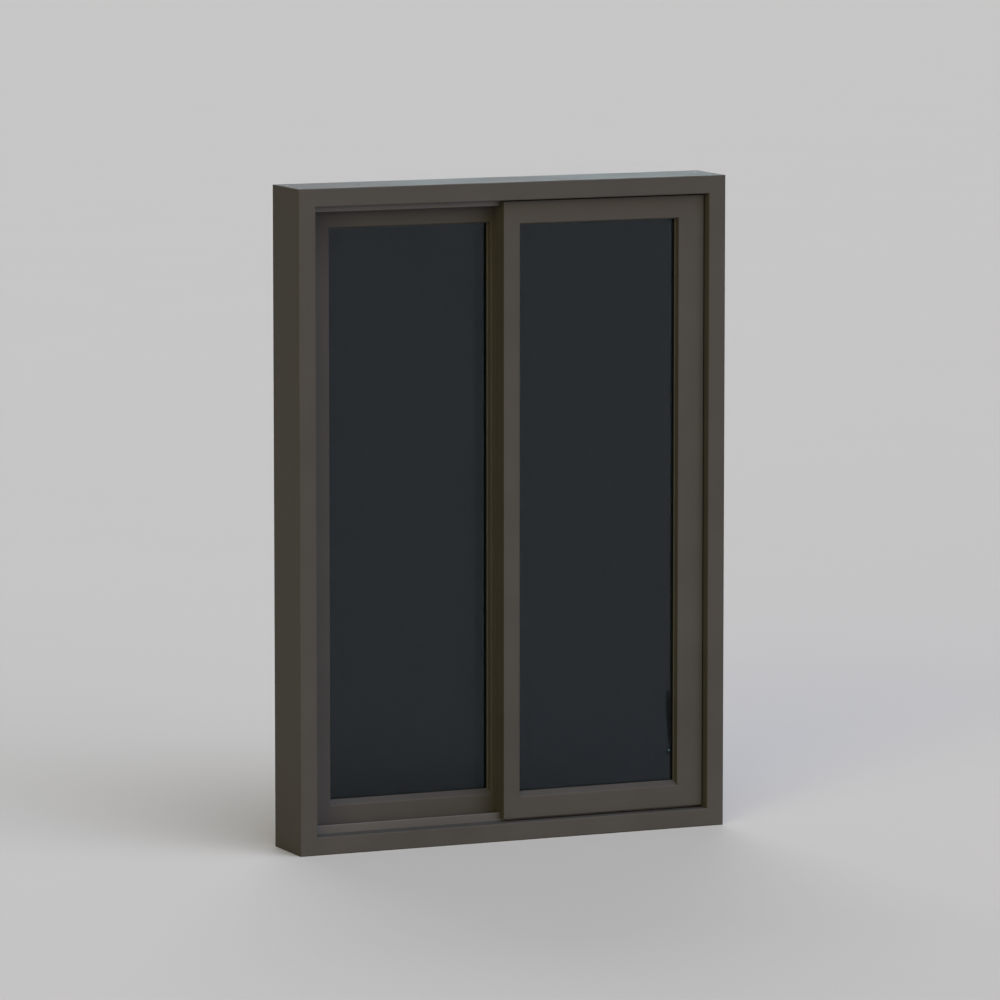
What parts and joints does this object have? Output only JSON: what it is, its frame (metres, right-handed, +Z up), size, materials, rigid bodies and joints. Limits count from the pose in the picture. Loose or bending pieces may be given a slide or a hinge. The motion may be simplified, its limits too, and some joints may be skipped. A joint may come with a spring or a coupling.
{
  "type": "horizontal sliding sash window",
  "caption": "Horizontal sliding sash window in a deep frame: a fixed sash and a sliding sash on rollers, double glazed, with a lever handle and hook lock.",
  "frame": {"origin": "middle of the foot of the frame", "axes": "+X along the width, towards the lock side as seen from outdoors; +Y indoors; +Z up"},
  "size_m": [0.84, 0.124, 1.2],
  "materials": {
    "paint": "satin paint, dark taupe",
    "guide": "satin coated, dark taupe",
    "glass": "clear, slightly dark",
    "spacer": "matt black",
    "gasket": "matt taupe rubber",
    "plastic": "matt black",
    "brush": "dark brush pile",
    "steel": "zinc plated",
    "handle": "semi-gloss black coating"
  },
  "bodies": {
    "frame": {"frame_head": "paint", "frame_sill": "paint", "frame_left_jamb": "paint", "frame_right_jamb": "paint", "frame_screws": "steel", "outer_head_guide": "guide", "inner_head_guide": "guide", "outer_sill_rail": "guide", "inner_sill_rail": "guide", "travel_stops": "plastic", "closing_seal": "brush", "fixed_side_seal": "brush", "keeper_plate": "steel", "keeper_screws": "steel", "fixed_jamb_stile": "paint", "fixed_meeting_stile": "paint", "fixed_top_rail": "paint", "fixed_bottom_rail": "paint", "fixed_outer_pane": "glass", "fixed_inner_pane": "glass", "fixed_spacer": "spacer", "fixed_gasket": "gasket", "fixed_setting_blocks": "plastic", "fixed_left_bead": "paint", "fixed_right_bead": "paint", "fixed_top_bead": "paint", "fixed_bottom_bead": "paint", "fixed_interlock": "guide", "fixed_packers": "plastic", "fixing_brackets": "steel", "bracket_screws": "steel"},
    "sliding_sash": {"sliding_lock_stile": "paint", "sliding_meeting_stile": "paint", "sliding_top_rail": "paint", "sliding_bottom_rail": "paint", "sliding_outer_pane": "glass", "sliding_inner_pane": "glass", "sliding_spacer": "spacer", "sliding_gasket": "gasket", "sliding_setting_blocks": "plastic", "sliding_left_bead": "paint", "sliding_right_bead": "paint", "sliding_top_bead": "paint", "sliding_bottom_bead": "paint", "sliding_interlock": "guide", "interlock_pile": "brush", "roller_housings": "steel", "roller_axles": "steel", "handle_base": "handle", "handle_screws": "steel", "lever_pin": "steel", "lock_case": "steel", "lock_screws": "steel", "hook_pin": "steel"},
    "left_wheel": {"left_roller": "plastic"},
    "right_wheel": {"right_roller": "plastic"},
    "lever": {"lock_lever": "handle"},
    "hook": {"lock_hook": "steel"}
  },
  "joints": [
    {"name": "sash_slide", "type": "slide", "parent": "frame", "child": "sliding_sash", "axis": [-1, 0, 0], "range_m": [0, 0.31]},
    {"name": "left_wheel_turn", "type": "hinge", "parent": "sliding_sash", "child": "left_wheel", "pos_m": [0.0754, -0.0262, 0.0558], "axis": [0, -1, 0], "range_deg": [-10, 2400]},
    {"name": "right_wheel_turn", "type": "hinge", "parent": "sliding_sash", "child": "right_wheel", "pos_m": [0.2946, -0.0262, 0.0558], "axis": [0, -1, 0], "range_deg": [-10, 2400]},
    {"name": "lever_lift", "type": "hinge", "parent": "sliding_sash", "child": "lever", "pos_m": [0.3591, 0.0028, 0.233], "axis": [1, 0, 0], "range_deg": [0, 35]},
    {"name": "hook_turn", "type": "hinge", "parent": "sliding_sash", "child": "hook", "pos_m": [0.3716, -0.0262, 0.19], "axis": [0, -1, 0], "range_deg": [0, 98]}
  ],
  "couplings": [
    {"joint": "left_wheel_turn", "follows": "sash_slide", "rad_per_m": 133.33},
    {"joint": "right_wheel_turn", "follows": "sash_slide", "rad_per_m": 133.33},
    {"joint": "hook_turn", "follows": "lever_lift", "ratio": 2.8}
  ]
}
